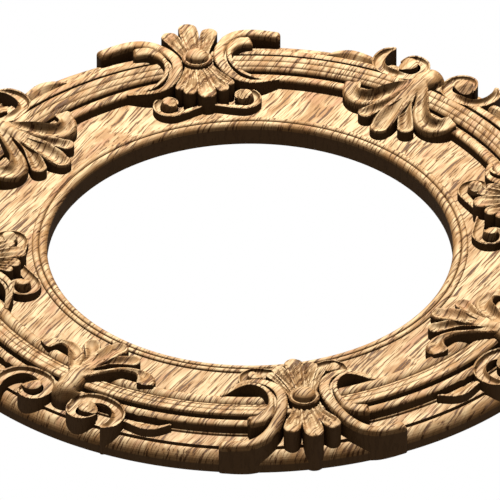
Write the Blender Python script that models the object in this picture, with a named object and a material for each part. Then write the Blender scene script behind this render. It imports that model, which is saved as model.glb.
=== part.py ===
# Round carved wooden frame: one board, a ring of mouldings with four palmettes and four acanthus leaves.
#
# The carving is worked out lying on its back, in millimetres: x and y in the plane of the ring, z the
# height of the wood above its flat back. It repeats eight times, so only the eighth of the ring between
# the palmette's middle (on +y) and the leaf's middle (at 45 degrees) is built, then mirrored three times.
# The finished frame stands upright: its back is the plane Y = 0, it faces -Y, and +Z is up.
import math

import bpy
import numpy as np
from mathutils import Vector
from mathutils.geometry import delaunay_2d_cdt

for old in list(bpy.data.objects):
    bpy.data.objects.remove(old)

MM = 0.001

# The ring
OPENING_RADIUS = 200.0
RING_RADIUS = 350.0
RING_FACETS = 6                      # straight facets in each eighth of the ring

# Moulding from the opening outwards: radius, height, how far the run to the next point bulges up, and
# in how many straight steps. Two heights at one radius make an upright step.
MOULDING = [
    (200.0, 18.9, 3.0, 3),           # first bead, at the opening
    (208.7, 21.2, 3.0, 2),           # second bead
    (215.2, 20.7, 0.0, 1),           # flat panel
    (266.2, 20.7, 0.0, 1),
    (266.2, 29.5, 3.6, 3),           # bead on the panel's outer side
    (279.5, 27.5, 0.0, 1),
    (282.2, 32.4, 0.0, 1),           # broad band
    (301.4, 35.6, 0.0, 1),
    (305.0, 27.2, 0.0, 1),           # valley
    (308.2, 33.4, 1.6, 2),           # outer bead
    (316.8, 31.6, 0.0, 1),
    (316.8, 20.5, 0.0, 1),           # ledge
    (334.9, 20.3, 0.0, 1),
    (334.9, 15.4, 4.2, 3),           # outer quarter round
    (350.0, 8.8, 0.0, 1),
]

# Palmette, on the +y axis
BOSS_AT = (0.0, 289.5)
BOSS_RADIUS = 15.2
BOSS_DOME = [(0.0, 52.4), (6.6, 51.3), (9.9, 49.3), (11.6, 45.2)]    # radius, height
BOSS_RING_TOP = (13.2, 45.8)
PALMETTE_VOLUTE_AT = (38.8, 234.2)
PALMETTE_EYE_RADIUS = 7.8
PALMETTE_EYE_HEIGHT = 36.2

# Acanthus leaf, in its own frame: s across from its middle line, v out from the ring's centre
LEAF_HEAD_AT = (0.0, 317.0)
LEAF_HEAD_RADIUS = 14.6
LEAF_HEAD_HEIGHT = 44.4
LEAF_HEAD_FOOT = 27.0
LEAF_EYE_AT = (33.2, 327.0)
LEAF_EYE_RADIUS = 9.6
LEAF_EYE_HEIGHT = 36.4
# The eye's top slopes down on one side to the floor of the scroll: uphill direction, lowest height, rise
LEAF_EYE_RAMP = ((0.95, -0.31), 27.0, 0.95)

# Rings of a dome, as shares of its radius
DOME_RINGS = (0.0, 0.55, 0.85, 1.0)

# How finely the outlines are kept
PATH_STEP = 2.0
OUTLINE_TOLERANCE = 1.3
CREASE_TOLERANCE = 1.8
MERGE_DISTANCE = 0.8
LEVEL_TOLERANCE = 1.5
TRIANGLES_KEPT = 0.67                # share of the eighth's triangles left once it is thinned out

WOOD_COLOUR = (0.66, 0.44, 0.24, 1.0)
WOOD_ROUGHNESS = 0.55


def smooth_path(rows, step):
    """Smooth curve through rows of x, y and further values, with a point about every step."""
    rows = np.array(rows, float)
    knots = np.concatenate([[0.0], np.cumsum(np.hypot(*np.diff(rows[:, :2], axis=0).T))])
    slopes = np.gradient(rows, knots, axis=0)
    t = np.linspace(0.0, knots[-1], max(3, int(round(knots[-1] / step)) + 1))
    i = np.clip(np.searchsorted(knots, t, side="right") - 1, 0, len(knots) - 2)
    span = (knots[i + 1] - knots[i])[:, None]
    f = (t - knots[i])[:, None] / span
    start = (2 * f**3 - 3 * f**2 + 1) * rows[i] + (f**3 - 2 * f**2 + f) * span * slopes[i]
    end = (3 * f**2 - 2 * f**3) * rows[i + 1] + (f**3 - f**2) * span * slopes[i + 1]
    return start + end


def simplify(points, tolerance):
    """The points that an open line needs to stay within the tolerance of its course."""
    if len(points) < 3:
        return points
    chord = points[-1] - points[0]
    away = points - points[0]
    length = math.hypot(*chord)
    if length < 1e-9:
        distance = np.hypot(*away.T)
    else:
        distance = np.abs(chord[0] * away[:, 1] - chord[1] * away[:, 0]) / length
    far = int(np.argmax(distance))
    if distance[far] <= tolerance:
        return points[[0, -1]]
    return np.vstack([simplify(points[:far + 1], tolerance)[:-1], simplify(points[far:], tolerance)])


def inside(outline, points):
    """True for each point that the closed outline winds around."""
    x, y = points.T
    winding = np.zeros(len(points), int)
    for (ax, ay), (bx, by) in zip(outline, np.roll(outline, -1, axis=0)):
        side = (bx - ax) * (y - ay) - (x - ax) * (by - ay)
        winding += (ay <= y) & (y < by) & (side > 0)
        winding -= (by <= y) & (y < ay) & (side < 0)
    return winding != 0


class Stroke:
    """A ribbon of carving along a curved line.

    Its rows give x, y, height and half width. The section gives how far the surface lies above or
    below that height, from t (-1 on the line's right to 1 on its left) and s (0 to 1 along the line).
    """

    def __init__(self, rows, section, creases=(), square_start=0.0, square_end=0.0, clears_ring=False):
        self.path = smooth_path(rows, PATH_STEP)
        self.section = section
        self.clears_ring = clears_ring
        point = self.path[:, :2]
        along = np.gradient(point, axis=0)
        along /= np.hypot(*along.T)[:, None]
        self.left = np.column_stack([-along[:, 1], along[:, 0]]) * self.path[:, 3:4]
        first = self.cap(point[0], -along[0], self.left[0], square_start)
        last = self.cap(point[-1], along[-1], -self.left[-1], square_end)
        sides = (point + self.left, last, (point - self.left)[::-1], first)
        self.outline = np.vstack([simplify(side, OUTLINE_TOLERANCE)[:-1] for side in sides])
        self.creases = [simplify(point + t * self.left, CREASE_TOLERANCE) for t in creases]

    @staticmethod
    def cap(centre, ahead, side, square):
        """End of the ribbon: a half round, or a squarer end where square is its length."""
        radius = math.hypot(*side)
        turn = np.linspace(-math.pi / 2, math.pi / 2, 9)
        across, along = np.sin(turn), np.cos(turn)
        if square:
            across = np.sign(across) * np.abs(across) ** 0.45
            along = along ** 0.45
        return centre + np.outer(across, side) + np.outer(along * (square or radius), ahead)

    def height(self, points):
        start = self.path[:-1, :2]
        run = self.path[1:, :2] - start
        away = points[:, None, :] - start[None]
        part = np.clip((away * run).sum(2) / (run**2).sum(1), 0.0, 1.0)
        gap = away - part[..., None] * run
        nearest = np.argmin((gap**2).sum(2), axis=1)
        row = np.arange(len(points))
        part = part[row, nearest]
        gap = gap[row, nearest]
        value = self.path[nearest] + part[:, None] * (self.path[nearest + 1] - self.path[nearest])
        side = np.sign(run[nearest, 0] * gap[:, 1] - run[nearest, 1] * gap[:, 0])
        t = np.clip(side * np.hypot(*gap.T) / value[:, 3], -1.0, 1.0)
        return value[:, 2] + self.section(t, (nearest + part) / len(run))


class Disc:
    """A round raised spot, whose height follows the distance from its middle."""

    def __init__(self, centre, radius, profile, rings=(), sides=12, ramp=None):
        self.centre = np.array(centre[:2])
        self.radius = radius
        self.profile = np.array(profile)
        self.ramp = ramp
        self.clears_ring = False         # mouldings that are higher than the spot still show
        turn = np.arange(sides) * 2 * math.pi / sides + math.pi / 2
        circle = np.column_stack([np.cos(turn), np.sin(turn)])
        self.outline = self.centre + radius * circle
        self.creases = [self.centre + ring * np.vstack([circle, circle[:1]]) for ring in rings]
        if ramp:
            uphill, low, rise = ramp
            across = 0.9 * radius * np.array([-uphill[1], uphill[0]])
            middle = self.centre + ((profile[0][1] - low) / rise - radius) * np.array(uphill)
            self.creases.append(np.vstack([middle - across, middle + across]))
        else:
            self.creases.append(np.vstack([self.centre, self.creases[0][0] if rings else self.outline[0]]))

    def height(self, points):
        away = points - self.centre
        level = np.interp(np.hypot(*away.T), self.profile[:, 0], self.profile[:, 1])
        if self.ramp:
            uphill, low, rise = self.ramp
            level = np.minimum(level, low + rise * (self.radius + away @ np.array(uphill)))
        return level


def dome(radius, top, foot, rings):
    """Profile of a dome: the given rings, as shares of its radius, each with its height."""
    return [(radius * ring, foot + (top - foot) * math.sqrt(max(0.0, 1 - ring**2))) for ring in rings]


def crowned(drop_start, drop_end):
    """Rounded top, falling towards both edges."""
    return lambda t, s: -(drop_start + (drop_end - drop_start) * s) * np.abs(t) ** 3


def spoon(depth):
    """Petal with raised edges, hollowed more towards its tip."""
    return lambda t, s: -depth * (0.35 + 0.65 * s) * (1.0 - t**2)


def gutter(section_points):
    """Section through given points, which fades in from a crowned stem and out again near the end."""
    at, rise = np.array(section_points).T
    return lambda t, s: (np.interp(t, at, rise) * np.interp(s, (0.0, 0.33, 0.8, 1.0), (0.0, 1.0, 1.0, 0.5))
                         - 2.0 * t**4 * (s < 0.33))


def volute_rim(t, s):
    """Raised rim on the spiral's outer side, which runs out where the spiral climbs on to the eye."""
    rim = np.interp(t, (-1.0, -0.75, -0.3, 0.5, 1.0), (3.6, 3.6, 0.6, -0.5, 0.0))
    return rim * np.interp(s, (0.7, 0.97), (1.0, 0.0))


def neck_and_lobe(t, s):
    """Rounded back of the neck, which opens into a hollow lobe."""
    opened = np.clip(2.6 * s - 0.85, 0, 1)
    return -5.0 * np.abs(t) ** 3 * (1 - opened) - 5.5 * (1 - t**2) * opened


def scroll_gutter(t, s):
    """Rims on both sides along the ear; round the eye only the outer rim, beside a shallower floor."""
    ear = np.interp(t, (-1.0, -0.5, 0.3, 0.75, 1.0), (0.3, -4.4, -4.4, 0.8, 0.5))
    volute = np.interp(t, (-1.0, -0.75, -0.4, 1.0), (0.8, 0.8, -2.8, -2.8))
    share = np.interp(s, (0.42, 0.56), (0.0, 1.0))
    return (ear * (1 - share) + volute * share) * np.interp(s, (0.0, 0.06), (0.2, 1.0))


def palmette():
    """Shapes on the +y axis and its right-hand side."""
    shapes = []
    # Boss, a low dome inside a round rim
    profile = BOSS_DOME + [BOSS_RING_TOP, (BOSS_RADIUS, BOSS_RING_TOP[1] - 1.0)]
    shapes.append(Disc(BOSS_AT, BOSS_RADIUS, profile, rings=[ring for ring, _ in BOSS_DOME[1:]]))
    # Petals: base, waist and tip, each as x, y, height and half width
    petals = [
        [(0.0, 300.0, 39.8, 6.0), (0.0, 322.0, 41.4, 8.4), (0.0, 343.4, 43.2, 9.4)],
        [(8.5, 299.0, 39.8, 4.6), (13.8, 317.5, 41.0, 6.9), (20.0, 333.4, 42.9, 8.3)],
        [(0.0, 278.0, 41.2, 4.8), (0.0, 256.0, 43.2, 6.9), (0.0, 233.0, 43.8, 9.2)],
        [(6.0, 279.0, 41.0, 4.0), (10.2, 259.0, 42.8, 5.4), (16.2, 239.0, 43.6, 6.8)],
        [(11.0, 280.0, 41.0, 3.2), (16.8, 263.0, 42.6, 4.3), (25.0, 246.2, 43.4, 4.8)],
    ]
    for rows in petals:
        shapes.append(Stroke(rows, spoon(3.2), creases=(0.0,)))
    # Broad band of the C scroll, from its squared outer end round the waist to its tail
    shapes.append(Stroke([
        (86.0, 334.6, 31.5, 6.8), (74.0, 338.0, 32.5, 6.8), (62.0, 339.6, 33.6, 6.8),
        (50.0, 336.6, 35.8, 7.0), (39.5, 328.5, 38.8, 6.8), (31.0, 316.0, 42.0, 6.2),
        (24.8, 301.5, 44.5, 5.7), (21.4, 286.0, 45.5, 5.2), (23.0, 273.0, 45.0, 5.0),
        (27.5, 262.5, 43.5, 4.7), (35.0, 253.8, 41.5, 3.9), (46.0, 248.4, 39.8, 2.8),
        (57.0, 249.2, 37.8, 2.4), (66.0, 252.4, 35.6, 2.2), (75.5, 256.6, 32.6, 1.9)],
        crowned(4.5, 1.0), creases=(0.0,), square_start=6.5))
    # Thin rim of the C scroll, from the hook inside its outer end to its tail
    shapes.append(Stroke([
        (54.0, 314.5, 42.4, 7.8), (48.0, 314.0, 43.0, 7.8), (41.0, 309.5, 43.5, 6.6),
        (35.8, 301.5, 44.5, 4.4), (33.0, 293.0, 45.3, 3.0), (32.0, 284.0, 45.5, 2.5),
        (33.2, 275.0, 45.2, 2.3), (36.5, 266.5, 44.2, 2.1), (41.8, 259.2, 43.0, 1.9),
        (48.5, 254.6, 41.4, 1.7), (57.0, 253.0, 38.4, 1.6), (65.5, 254.8, 35.8, 1.5),
        (73.5, 257.6, 33.0, 1.4)],
        crowned(5.0, 0.3), creases=(0.0,), square_start=6.0))
    # Floor of the channel between the two
    shapes.append(Stroke([
        (29.5, 303.0, 38.0, 4.0), (27.0, 285.0, 38.5, 4.5), (30.5, 268.0, 37.5, 5.0),
        (40.0, 255.0, 35.5, 4.0), (50.0, 251.2, 34.0, 1.8), (58.0, 251.0, 33.5, 1.2)],
        lambda t, s: 0.0 * t))
    # Volute on the panel: its stem from the middle petal, then a spiral that closes on the eye
    rows = [(5.0, 231.0, 27.0, 4.2), (14.0, 228.0, 27.0, 4.6), (25.0, 224.0, 27.0, 5.2)]
    for turn, outer, rise in ((-88, 18.2, 0.0), (-45, 16.8, 0.0), (0, 15.7, 0.0), (45, 15.3, 0.6),
                              (90, 14.4, 2.0), (130, 12.4, 4.2), (160, 10.4, 6.4), (180, 9.2, 7.8)):
        middle = (outer + PALMETTE_EYE_RADIUS) / 2
        angle = math.radians(turn)
        rows.append((PALMETTE_VOLUTE_AT[0] + middle * math.cos(angle),
                     PALMETTE_VOLUTE_AT[1] + middle * math.sin(angle),
                     27.0 + rise, (outer - PALMETTE_EYE_RADIUS) / 2 + 0.3))
    shapes.append(Stroke(rows, volute_rim, creases=(-0.4,), clears_ring=True))
    shapes.append(Disc(PALMETTE_VOLUTE_AT, PALMETTE_EYE_RADIUS, [
        (0.0, PALMETTE_EYE_HEIGHT + 0.6), (PALMETTE_EYE_RADIUS, PALMETTE_EYE_HEIGHT - 0.4)], sides=10))
    return shapes


def leaf_place(rows):
    """Turn rows given as s, v and values into x, y and the same values, on the palmette's side."""
    rows = np.array(rows, float)
    half = math.sqrt(0.5)
    return np.column_stack([(rows[:, 1] - rows[:, 0]) * half, (rows[:, 1] + rows[:, 0]) * half, rows[:, 2:]])


def acanthus():
    """Shapes of the leaf at 45 degrees, on its middle line and the side towards the palmette."""
    shapes = []
    # Domed head
    shapes.append(Disc(leaf_place([LEAF_HEAD_AT])[0], LEAF_HEAD_RADIUS,
                       dome(LEAF_HEAD_RADIUS, LEAF_HEAD_HEIGHT, LEAF_HEAD_FOOT, DOME_RINGS),
                       rings=[LEAF_HEAD_RADIUS * ring for ring in DOME_RINGS[1:-1]]))
    # Stem and middle lobe in one
    shapes.append(Stroke(leaf_place([
        (0.0, 316.0, 43.6, 11.6), (0.0, 308.0, 45.2, 12.6), (0.0, 298.0, 45.8, 10.6),
        (0.0, 286.0, 44.8, 8.6), (0.0, 270.0, 43.0, 8.6), (0.0, 254.0, 40.5, 9.8), (0.0, 240.0, 37.5, 10.8),
        (0.0, 230.0, 34.5, 10.8), (0.0, 226.5, 33.0, 9.8)]),
        neck_and_lobe, creases=(0.0,)))
    # Side lobe
    shapes.append(Stroke(leaf_place([
        (2.0, 288.0, 43.5, 3.2), (5.0, 274.0, 42.0, 4.0), (9.5, 260.0, 40.5, 5.6),
        (16.5, 248.0, 38.0, 7.4), (23.6, 237.6, 34.5, 8.2)]),
        spoon(5.5), creases=(0.0,)))
    # Hook: a gutter that curls back to the mouldings, where it is cut off square
    shapes.append(Stroke(leaf_place([
        (5.0, 296.0, 44.5, 5.0), (13.0, 283.0, 43.0, 6.4), (20.0, 270.5, 41.0, 8.0),
        (27.0, 259.8, 38.8, 8.9), (35.5, 253.6, 37.2, 9.3), (45.5, 252.0, 36.8, 9.3),
        (54.0, 256.8, 37.2, 9.0), (58.6, 265.6, 37.6, 8.4)]),
        gutter([(-1.0, 2.2), (-0.8, 3.4), (-0.2, -5.8), (0.5, -3.8), (0.8, -5.4), (1.0, -10.4)]),
        creases=(-0.25, 0.55), square_end=3.2, clears_ring=True))
    # Scroll on the outer mouldings: ear, run along the band, spiral round the eye
    shapes.append(Stroke(leaf_place([
        (61.6, 343.4, 33.0, 2.4), (65.6, 336.5, 32.6, 5.0), (66.4, 329.5, 32.4, 6.0),
        (64.6, 320.8, 32.4, 6.5), (58.6, 312.2, 32.8, 6.5), (49.4, 307.8, 33.2, 6.2),
        (38.5, 307.4, 33.4, 6.6), (28.5, 309.6, 33.2, 6.8), (20.4, 315.0, 32.8, 6.2),
        (16.8, 323.5, 32.4, 5.2), (17.4, 332.5, 32.2, 4.9), (21.5, 339.3, 32.2, 4.7),
        (28.4, 342.3, 32.4, 4.5), (35.6, 341.2, 33.0, 3.9), (41.2, 336.6, 33.6, 2.4),
        (44.0, 330.5, 34.0, 1.0)]),
        scroll_gutter, creases=(-0.4,), clears_ring=True))
    shapes.append(Disc(leaf_place([LEAF_EYE_AT])[0], LEAF_EYE_RADIUS, [
        (0.0, LEAF_EYE_HEIGHT), (LEAF_EYE_RADIUS, LEAF_EYE_HEIGHT - 0.8)], ramp=LEAF_EYE_RAMP))
    # Tail of the scroll, along the outer bead
    rows = []
    for degrees, radius, height, half_width in ((65.2, 319.6, 30.6, 3.2), (64.2, 324.0, 30.5, 3.5),
                                                (63.0, 329.0, 30.3, 3.4), (61.6, 331.8, 30.2, 3.1),
                                                (60.0, 331.0, 30.3, 2.8), (58.9, 329.6, 30.5, 2.6),
                                                (58.0, 328.2, 30.6, 2.6)):
        angle = math.radians(degrees)
        rows.append((radius * math.cos(angle), radius * math.sin(angle), height, half_width))
    shapes.append(Stroke(rows, crowned(1.2, 1.2), square_start=2.4))
    return shapes


def moulding_profile():
    """Radii and heights across the ring, with its rounded runs as short straight steps."""
    radii, heights = [], []
    for (r0, z0, bulge, steps), (r1, z1, _, _) in zip(MOULDING, MOULDING[1:]):
        for k in range(steps):
            f = k / steps
            radii.append(r0 + (r1 - r0) * f)
            heights.append(z0 + (z1 - z0) * f + bulge * math.sqrt(max(0.0, 1 - (2 * f - 1) ** 2)))
    radii.append(MOULDING[-1][0])
    heights.append(MOULDING[-1][1])
    return np.array(radii), np.array(heights)


def facet_radius(points):
    """Distance from the ring's centre, measured so that each straight facet keeps one value."""
    step = math.pi / 4 / RING_FACETS
    angle = np.arctan2(points[:, 1], points[:, 0])
    middle = (np.floor(angle / step + 1e-9) + 0.5) * step
    return (points[:, 0] * np.cos(middle) + points[:, 1] * np.sin(middle)) / math.cos(step / 2)


def outside_parts(start, end, shapes):
    """The parts of a straight line that no shape covers."""
    run = end - start
    cuts = [0.0, 1.0]
    for shape in shapes:
        a = shape.outline
        edge = np.roll(a, -1, axis=0) - a
        cross = run[0] * edge[:, 1] - run[1] * edge[:, 0]
        cross = np.where(np.abs(cross) < 1e-12, 1e-12, cross)
        away = a - start
        at = (away[:, 0] * edge[:, 1] - away[:, 1] * edge[:, 0]) / cross
        part = (away[:, 0] * run[1] - away[:, 1] * run[0]) / cross
        cuts.extend(at[(part >= 0) & (part <= 1) & (at > 0) & (at < 1)])
    cuts = sorted(cuts)
    for low, high in zip(cuts, cuts[1:]):
        if high - low > 1e-6:
            middle = (start + run * (low + high) / 2)[None]
            if not any(inside(shape.outline, middle)[0] for shape in shapes):
                yield start + run * low, start + run * high


def plan_lines(shapes, radii, heights):
    """Every line of the plan: the mouldings' edges, the outlines, the creases and the two mirror lines."""
    lines = []
    angles = np.linspace(math.pi / 4, math.pi / 2, RING_FACETS + 1)
    rim = np.column_stack([np.cos(angles), np.sin(angles)])
    for radius in np.unique(radii):
        for a, b in zip(rim * radius, rim[1:] * radius):
            lines.extend(outside_parts(a, b, shapes))
    for number, shape in enumerate(shapes):
        others = shapes[:number] + shapes[number + 1:]
        loops = [np.vstack([shape.outline, shape.outline[:1]])] + shape.creases
        for loop in loops:
            tests = np.vstack([loop, (loop[1:] + loop[:-1]) / 2])
            level = shape.height(tests)
            hidden = np.zeros(len(tests), bool)
            for other in others:
                hidden |= inside(other.outline, tests) & (other.height(tests) > level)
            if not shape.clears_ring:
                radius = facet_radius(tests)
                hidden |= (radius < RING_RADIUS) & (np.interp(radius, radii, heights) > level)
            count = len(loop)
            for k in range(count - 1):
                if not (hidden[k] and hidden[k + 1] and hidden[count + k]):
                    lines.append((loop[k], loop[k + 1]))
    half = math.sqrt(0.5)
    reach = RING_RADIUS + 20.0
    lines.append((np.array([0.0, OPENING_RADIUS]), np.array([0.0, reach])))
    lines.append((np.array([OPENING_RADIUS, OPENING_RADIUS]) * half, np.array([reach, reach]) * half))
    return lines


def triangulate(lines):
    """Triangles of the eighth that keep every line of the plan."""
    points = [Vector(point) for line in lines for point in line]
    edges = [(2 * k, 2 * k + 1) for k in range(len(lines))]
    result = delaunay_2d_cdt(points, edges, [], 0, MERGE_DISTANCE)
    flat = np.array([tuple(point) for point in result[0]])
    flat[np.abs(flat[:, 0]) < MERGE_DISTANCE, 0] = 0.0
    diagonal = np.abs(flat[:, 0] - flat[:, 1]) < MERGE_DISTANCE * 1.4
    flat[diagonal] = flat[diagonal].mean(axis=1)[:, None]
    triangles = np.array([tuple(face) for face in result[2]])
    corner = flat[triangles]
    area = np.cross(corner[:, 1] - corner[:, 0], corner[:, 2] - corner[:, 0])
    triangles[area < 0] = triangles[area < 0][:, ::-1]
    middle = corner.mean(axis=1)
    keep = (np.abs(area) > 1e-4) & (middle[:, 0] > 0) & (middle[:, 0] < middle[:, 1])
    return flat, triangles[keep]


def corner_heights(flat, triangles, shapes, radii, heights):
    """Height of the wood at each corner of each triangle, and the triangles that are wood."""
    middle = flat[triangles].mean(axis=1)
    radius = facet_radius(middle)
    on_ring = (radius > OPENING_RADIUS) & (radius < RING_RADIUS)
    cover = np.array([inside(shape.outline, middle) for shape in shapes])
    wood = on_ring | cover.any(axis=0)
    triangles, on_ring, cover = triangles[wood], on_ring[wood], cover[:, wood]
    band = np.clip(np.searchsorted(radii, radius[wood], side="right") - 1, 0, len(radii) - 2)
    inner, outer = radii[band][:, None], radii[band + 1][:, None]
    part = (np.clip(facet_radius(flat)[triangles], inner, outer) - inner) / (outer - inner)
    ring_level = heights[band][:, None] * (1 - part) + heights[band + 1][:, None] * part
    level = np.where(on_ring[:, None], ring_level, -1.0)
    for shape, covered in zip(shapes, cover):
        if shape.clears_ring:
            level[covered] = -1.0
    for shape, covered in zip(shapes, cover):
        used = np.unique(triangles[covered])
        if len(used):
            shape_level = np.zeros(len(flat))
            shape_level[used] = shape.height(flat[used])
            level[covered] = np.maximum(level[covered], shape_level[triangles[covered]])
    return triangles, level


def lift_pinch(flat, triangles, level, point, places):
    """Where two hollows meet only at one point, lift the narrower one there, so that walls never touch."""
    places = sorted(places, key=lambda place: math.atan2(
        *(flat[triangles[place[0]]].mean(axis=0) - flat[point])[::-1]) % (2 * math.pi))
    neighbours = [set(triangles[t]) - {point} for t, _ in places]
    breaks = [k for k in range(len(places)) if not neighbours[k - 1] & neighbours[k]]
    if breaks:
        places = places[breaks[0]:] + places[:breaks[0]]
    x, y = flat[point]
    on_mirror = x == 0 or x == y
    if len(breaks) > 1:
        return False
    around = [level[place] for place in places]
    if on_mirror:
        around, places = around + around[::-1], places + places[::-1]
    elif breaks:
        around, places = around + [0.0], places + [None]
    runs = []
    for k, height in enumerate(around):
        if runs and runs[-1][0] == height:
            runs[-1][1].append(k)
        else:
            runs.append([height, [k]])
    if len(runs) > 1 and runs[0][0] == runs[-1][0]:
        runs[0][1] = runs.pop()[1] + runs[0][1]
    hollows = [k for k, run in enumerate(runs)
               if run[0] < runs[k - 1][0] and run[0] < runs[(k + 1) % len(runs)][0]]
    liftable = [k for k in hollows if all(places[j] for j in runs[k][1])]
    if len(hollows) < 2 or not liftable:
        return False
    rims = {k: min(runs[k - 1][0], runs[(k + 1) % len(runs)][0]) for k in liftable}
    floor = max(runs[k][0] for k in hollows)
    rim_of_floor = [k for k in liftable if runs[k][0] == floor]
    k = min(rim_of_floor or liftable, key=lambda k: len(runs[k][1]))
    for j in runs[k][1]:
        level[places[j]] = rims[k]
    return True


def settle_levels(flat, triangles, level):
    """Join levels that nearly meet at a point, cross along an edge or meet in a pinch."""
    corners, sides = {}, {}
    for t, triangle in enumerate(triangles):
        for c in range(3):
            corners.setdefault(triangle[c], []).append((t, c))
            edge = tuple(sorted((triangle[c], triangle[(c + 1) % 3])))
            sides.setdefault(edge, []).append(t)
    where = {(t, point): c for point, places in corners.items() for t, c in places}

    def join(point, low, high):
        for place in corners[point]:
            if low <= level[place] <= high:
                level[place] = high

    for point, places in corners.items():
        found = sorted({level[place] for place in places})
        start = found[0]
        for value, following in zip(found, found[1:] + [math.inf]):
            if following - value > LEVEL_TOLERANCE:
                join(point, start, value)
                start = following
    changed = True
    while changed:
        changed = False
        for (a, b), pair in sides.items():
            if len(pair) == 2:
                at_a = [level[t, where[t, a]] for t in pair]
                at_b = [level[t, where[t, b]] for t in pair]
                if (at_a[0] - at_a[1]) * (at_b[0] - at_b[1]) < 0:
                    near_a = abs(at_a[0] - at_a[1]) < abs(at_b[0] - at_b[1])
                    point, ends = (a, at_a) if near_a else (b, at_b)
                    join(point, min(ends), max(ends))
                    changed = True
        for point, places in corners.items():
            while lift_pinch(flat, triangles, level, point, places):
                changed = True
    return sides


def build_eighth(flat, triangles, level, sides):
    """Faces of the carved eighth: its top, the walls where levels differ, and the flat back."""
    places, vertices, faces = {}, [], []

    def vertex(point, height):
        key = (point, round(height, 4))
        if key not in places:
            places[key] = len(vertices)
            vertices.append((flat[point][0], flat[point][1], height))
        return places[key]

    steps = {}
    for t, triangle in enumerate(triangles):
        for c, point in enumerate(triangle):
            steps.setdefault(point, set()).add(level[t, c])
    edge_of_wood = []
    for (a, b), pair in sides.items():
        on_axis = flat[a][0] == 0 and flat[b][0] == 0
        on_diagonal = flat[a][0] == flat[a][1] and flat[b][0] == flat[b][1]
        if len(pair) == 1 and not (on_axis or on_diagonal):
            edge_of_wood.append((a, b, pair[0]))
            steps[a].add(0.0)
            steps[b].add(0.0)

    def wall(a, b, low_a, low_b, high_a, high_b):
        """Upright wall, seen from the lower side with a on the left."""
        left = sorted(h for h in steps[a] if low_a <= h <= high_a)
        right = sorted(h for h in steps[b] if low_b <= h <= high_b)
        i = j = 0
        while i < len(left) - 1 or j < len(right) - 1:
            if j == len(right) - 1 or (i < len(left) - 1 and left[i + 1] <= right[j + 1]):
                faces.append((vertex(a, left[i]), vertex(b, right[j]), vertex(a, left[i + 1])))
                i += 1
            else:
                faces.append((vertex(a, left[i]), vertex(b, right[j]), vertex(b, right[j + 1])))
                j += 1

    def level_at(t, point):
        return level[t, list(triangles[t]).index(point)]

    for t, triangle in enumerate(triangles):
        faces.append(tuple(vertex(point, level[t, c]) for c, point in enumerate(triangle)))
    for (a, b), pair in sides.items():
        if len(pair) == 2:
            first, second = pair
            if level_at(first, a) + level_at(first, b) < level_at(second, a) + level_at(second, b):
                first, second = second, first
            if (level_at(first, a), level_at(first, b)) != (level_at(second, a), level_at(second, b)):
                order = list(triangles[first])
                if order[(order.index(a) + 1) % 3] != b:
                    a, b = b, a
                wall(a, b, level_at(second, a), level_at(second, b), level_at(first, a), level_at(first, b))
    back_edges = []
    for a, b, t in edge_of_wood:
        order = list(triangles[t])
        if order[(order.index(a) + 1) % 3] != b:
            a, b = b, a
        wall(a, b, 0.0, 0.0, level_at(t, a), level_at(t, b))
        back_edges.append((a, b))
    faces.extend(flat_back(flat, back_edges, vertex))
    return vertices, faces


def flat_back(flat, back_edges, vertex):
    """The flat back, which needs only the points on the edge of the wood."""
    used = sorted({point for edge in back_edges for point in edge})
    number = {point: k for k, point in enumerate(used)}
    ends = [point for point in used if sum(point in edge for edge in back_edges) == 1]
    edges = [(number[a], number[b]) for a, b in back_edges]
    for mirror in ([p for p in ends if flat[p][0] == 0], [p for p in ends if flat[p][0] == flat[p][1]]):
        edges.append(tuple(number[p] for p in mirror))
    result = delaunay_2d_cdt([Vector(flat[p]) for p in used], edges, [], 1, 1e-5)
    for face in result[2]:
        corner = [used[result[3][k][0]] for k in face]
        area = np.cross(flat[corner[1]] - flat[corner[0]], flat[corner[2]] - flat[corner[0]])
        if area > 0:
            corner.reverse()
        yield tuple(vertex(p, 0.0) for p in corner)


def thin_out(vertices, faces):
    """Collapse the triangles that add least, and put the cut edges back on the two mirror lines."""
    mesh = bpy.data.meshes.new("eighth")
    mesh.from_pydata(vertices, [], faces)
    eighth = bpy.data.objects.new("eighth", mesh)
    bpy.context.scene.collection.objects.link(eighth)
    collapse = eighth.modifiers.new("thin_out", "DECIMATE")
    collapse.ratio = TRIANGLES_KEPT
    thinned = eighth.evaluated_get(bpy.context.evaluated_depsgraph_get()).to_mesh()
    points = np.array([tuple(vertex.co) for vertex in thinned.vertices], float)
    triangles = np.array([tuple(face.vertices) for face in thinned.polygons])
    bpy.data.objects.remove(eighth)
    edges = np.sort(np.vstack([triangles[:, [0, 1]], triangles[:, [1, 2]], triangles[:, [2, 0]]]), axis=1)
    edges, uses = np.unique(edges, axis=0, return_counts=True)
    for vertex in np.unique(edges[uses == 1]):
        x, y = points[vertex, :2]
        if abs(x) < MERGE_DISTANCE:
            points[vertex, 0] = 0.0
        elif abs(x - y) < MERGE_DISTANCE:
            points[vertex, :2] = (x + y) / 2
    return points, triangles


def mirror_all(vertices, faces):
    """Mirror the eighth over the diagonal, then over both axes, and join the copies at their seams."""
    points, faces = vertices, faces
    mirrors = (np.array([[0, 1, 0], [1, 0, 0], [0, 0, 1]]), np.diag([-1, 1, 1]), np.diag([1, -1, 1]))
    for mirror in mirrors:
        faces = np.vstack([faces, faces[:, ::-1] + len(points)])
        points = np.vstack([points, points @ mirror])
    keys = np.round(points, 3) + 0.0
    _, first, joined = np.unique(keys, axis=0, return_index=True, return_inverse=True)
    faces = joined.reshape(-1)[faces]
    whole = (faces[:, 0] != faces[:, 1]) & (faces[:, 1] != faces[:, 2]) & (faces[:, 2] != faces[:, 0])
    return points[first], faces[whole]


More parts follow.
